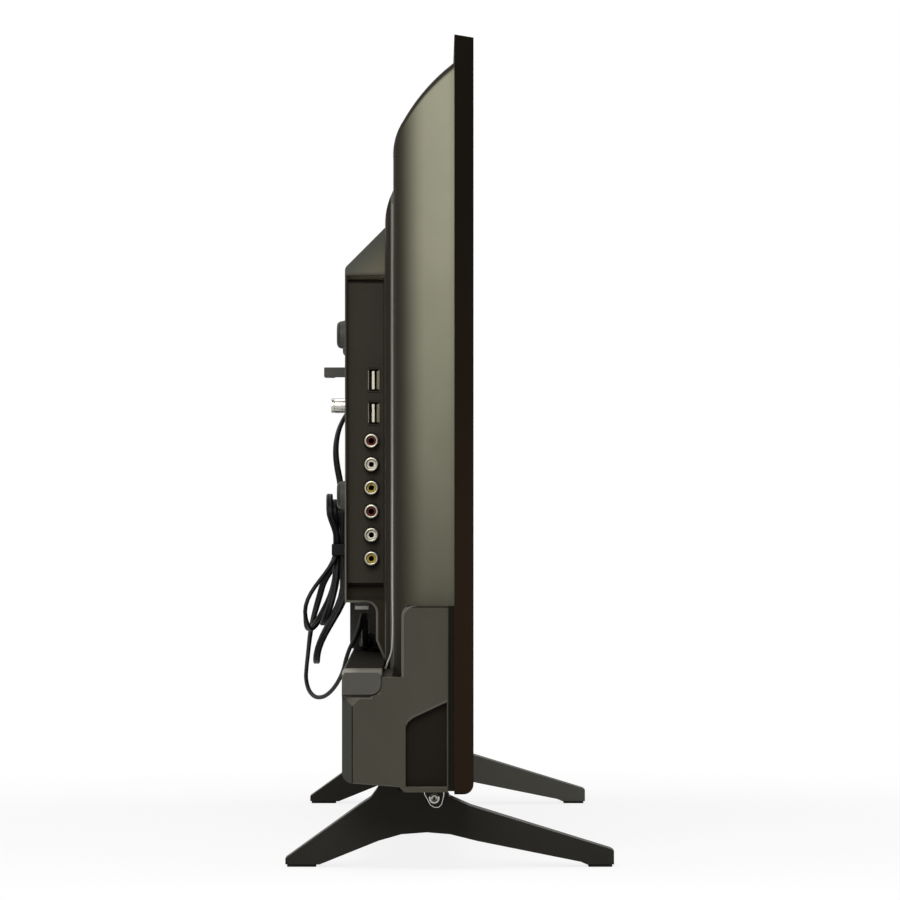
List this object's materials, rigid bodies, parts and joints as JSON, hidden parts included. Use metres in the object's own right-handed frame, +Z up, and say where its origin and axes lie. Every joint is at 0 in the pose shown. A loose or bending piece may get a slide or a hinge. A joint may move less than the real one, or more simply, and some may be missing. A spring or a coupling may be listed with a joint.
{
  "type": "flat screen television",
  "caption": "Flat screen television with a slab front, a moulded bulging back with ports and a hanked mains lead, on two splayed screw-on legs",
  "frame": {"origin": "on the table, under the middle of the set", "axes": "+X along the width, screen faces -Y, +Z up"},
  "size_m": [0.732, 0.192, 0.481],
  "materials": {
    "bezel_black": "satin black moulding",
    "screen": "anti-glare dark panel",
    "dark_plastic": "fine texture",
    "white_optics": "matt white",
    "clear_lens": "clear",
    "aluminium": "bare",
    "zinc_steel": "zinc plated sheet",
    "circuit_board": "solder mask",
    "power_board": "phenolic board",
    "ribbon": "flat cable",
    "nickel": "nickel plated",
    "ivory_plastic": "satin",
    "red_plastic": "satin",
    "yellow_plastic": "satin",
    "transformer_tape": "polyester tape",
    "capacitor_sleeve": "shrink sleeve",
    "speaker_paper": "coated paper",
    "key_black": "satin",
    "infrared_window": "deep red tint",
    "cover_grey": "spark-eroded texture",
    "housing_grey": "spark-eroded texture",
    "port_plate": "fine texture",
    "brass": "turned",
    "black_screw": "black oxide",
    "leg_black": "fine texture",
    "bracket_black": "black coat",
    "foot_rubber": "matt",
    "cord_pvc": "satin vinyl"
  },
  "bodies": {
    "cabinet": {"front_bezel": "bezel_black", "lcd_panel": "screen", "panel_mid_frame": "dark_plastic", "rca_housing": "dark_plastic", "speaker_boxes": "dark_plastic", "cable_clip": "dark_plastic", "cord_grommet": "dark_plastic", "diffuser_plate": "white_optics", "reflector_sheet": "white_optics", "led_lenses": "clear_lens", "led_bars": "aluminium", "heatsinks": "aluminium", "backlight_pan": "zinc_steel", "speaker_magnets": "zinc_steel", "source_board": "circuit_board", "main_board": "circuit_board", "key_board": "circuit_board", "remote_board": "circuit_board", "power_board": "power_board", "lvds_ribbon": "ribbon", "tuner_can": "nickel", "antenna_socket": "nickel", "usb_shells": "nickel", "rca_barrels": "nickel", "hdmi_socket": "nickel", "vga_connector": "nickel", "plug_blades": "nickel", "leg_lugs": "nickel", "leg_screws": "nickel", "antenna_insulator": "ivory_plastic", "usb_tongues": "ivory_plastic", "rca_cores_white": "ivory_plastic", "rca_cores_red": "red_plastic", "rca_cores_yellow": "yellow_plastic", "power_transformer": "transformer_tape", "power_capacitors": "capacitor_sleeve", "remote_window": "infrared_window", "rear_cover": "cover_grey", "lower_housing": "housing_grey", "port_plates": "port_plate", "vesa_inserts": "brass", "cover_screws": "black_screw", "leg_left": "leg_black", "leg_right": "leg_black", "leg_brackets": "bracket_black", "foot_pads": "foot_rubber", "power_cord_lead": "cord_pvc", "power_cord_hank": "cord_pvc", "power_cord_tail": "cord_pvc", "power_plug": "cord_pvc", "cord_tie": "cord_pvc"},
    "key_power": {"key_power": "key_black"},
    "key_source": {"key_source": "key_black"},
    "key_menu": {"key_menu": "key_black"},
    "key_channel_up": {"key_channel_up": "key_black"},
    "key_channel_down": {"key_channel_down": "key_black"},
    "key_volume_up": {"key_volume_up": "key_black"},
    "key_volume_down": {"key_volume_down": "key_black"},
    "speaker_cone_left": {"speaker_cone_left": "speaker_paper"},
    "speaker_cone_right": {"speaker_cone_right": "speaker_paper"}
  },
  "joints": [
    {"name": "key_power_press", "type": "slide", "parent": "cabinet", "child": "key_power", "axis": [0, -1, 0], "range_m": [0, 0.0007], "stiffness_N_per_m": 800},
    {"name": "key_source_press", "type": "slide", "parent": "cabinet", "child": "key_source", "axis": [0, -1, 0], "range_m": [0, 0.0007], "stiffness_N_per_m": 800},
    {"name": "key_menu_press", "type": "slide", "parent": "cabinet", "child": "key_menu", "axis": [0, -1, 0], "range_m": [0, 0.0007], "stiffness_N_per_m": 800},
    {"name": "key_channel_up_press", "type": "slide", "parent": "cabinet", "child": "key_channel_up", "axis": [0, -1, 0], "range_m": [0, 0.0007], "stiffness_N_per_m": 800},
    {"name": "key_channel_down_press", "type": "slide", "parent": "cabinet", "child": "key_channel_down", "axis": [0, -1, 0], "range_m": [0, 0.0007], "stiffness_N_per_m": 800},
    {"name": "key_volume_up_press", "type": "slide", "parent": "cabinet", "child": "key_volume_up", "axis": [0, -1, 0], "range_m": [0, 0.0007], "stiffness_N_per_m": 800},
    {"name": "key_volume_down_press", "type": "slide", "parent": "cabinet", "child": "key_volume_down", "axis": [0, -1, 0], "range_m": [0, 0.0007], "stiffness_N_per_m": 800},
    {"name": "speaker_cone_left_travel", "type": "slide", "parent": "cabinet", "child": "speaker_cone_left", "axis": [0, 0, 1], "range_m": [-0.001, 0.001], "stiffness_N_per_m": 1500},
    {"name": "speaker_cone_right_travel", "type": "slide", "parent": "cabinet", "child": "speaker_cone_right", "axis": [0, 0, 1], "range_m": [-0.001, 0.001], "stiffness_N_per_m": 1500}
  ]
}
